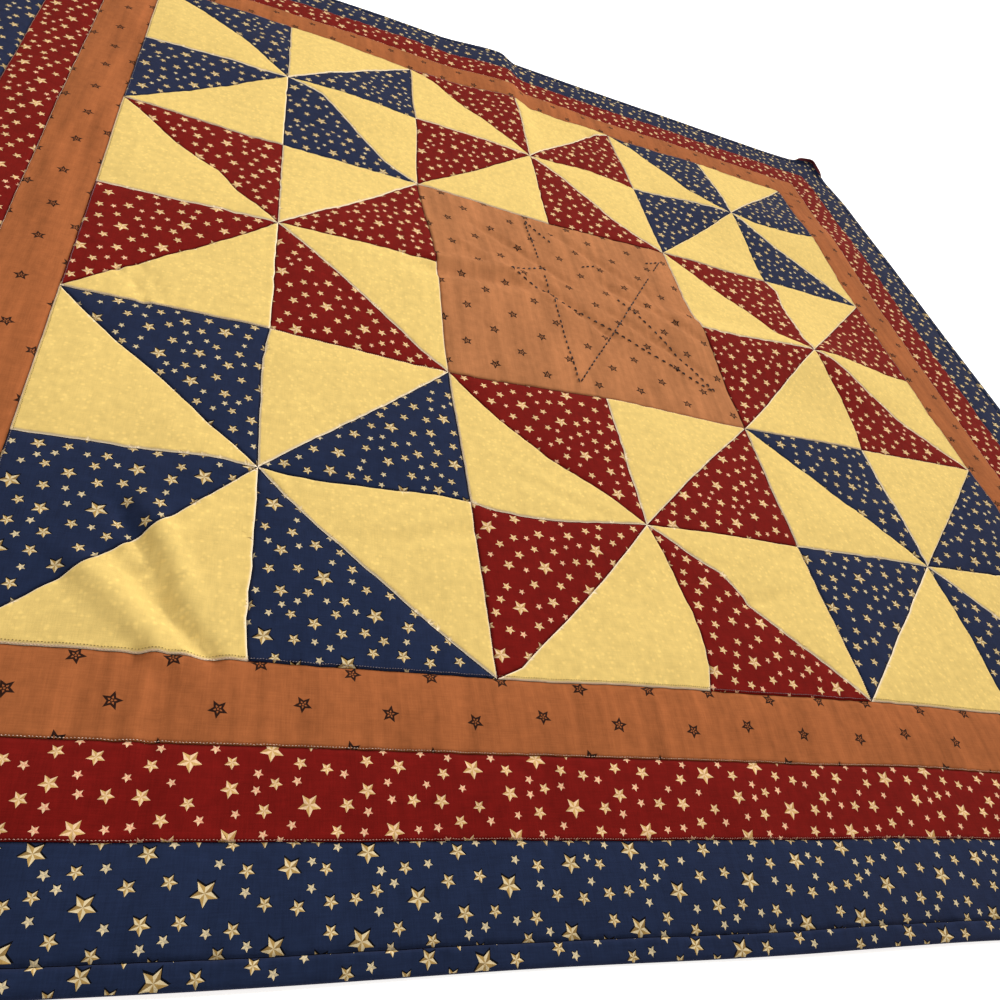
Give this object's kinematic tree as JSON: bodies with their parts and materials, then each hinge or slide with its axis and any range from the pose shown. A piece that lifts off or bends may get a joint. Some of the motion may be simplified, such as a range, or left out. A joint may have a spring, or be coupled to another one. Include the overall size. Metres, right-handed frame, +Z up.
{
  "type": "nine patch quilt",
  "caption": "Square patchwork quilt of pinwheel blocks round a plain centre, with striped borders, narrow binding and backing, lying open on a flat surface with soft wrinkles.",
  "frame": {"origin": "middle of the quilt's footprint, on the surface that it lies on", "axes": "+Z up out of the patchwork side, +X to the right and +Y to the far side of the pictured view, both along the quilt's edges"},
  "size_m": [1.208, 1.208, 0.017],
  "materials": {
    "navy_cream_patchwork": "matt printed cotton, navy and cream",
    "red_cream_patchwork": "matt printed cotton, dark red and cream",
    "tan_cotton": "matt slubby cotton",
    "red_cotton": "matt printed cotton",
    "navy_cotton": "matt printed cotton",
    "wine_cotton": "matt printed cotton"
  },
  "bodies": {
    "root": {"block_near_left": "navy_cream_patchwork", "block_near_middle": "red_cream_patchwork", "block_near_right": "navy_cream_patchwork", "block_middle_left": "red_cream_patchwork", "block_middle_middle": "tan_cotton", "block_middle_right": "red_cream_patchwork", "block_far_left": "navy_cream_patchwork", "block_far_middle": "red_cream_patchwork", "block_far_right": "navy_cream_patchwork", "tan_border_left": "tan_cotton", "tan_border_right": "tan_cotton", "tan_border_near": "tan_cotton", "tan_border_far": "tan_cotton", "red_border_left": "red_cotton", "red_border_right": "red_cotton", "red_border_near": "red_cotton", "red_border_far": "red_cotton", "navy_border_left": "navy_cotton", "navy_border_right": "navy_cotton", "navy_border_near": "navy_cotton", "navy_border_far": "navy_cotton", "binding_left": "navy_cotton", "binding_right": "navy_cotton", "binding_near": "navy_cotton", "binding_far": "navy_cotton", "backing": "wine_cotton"}
  },
  "joints": []
}
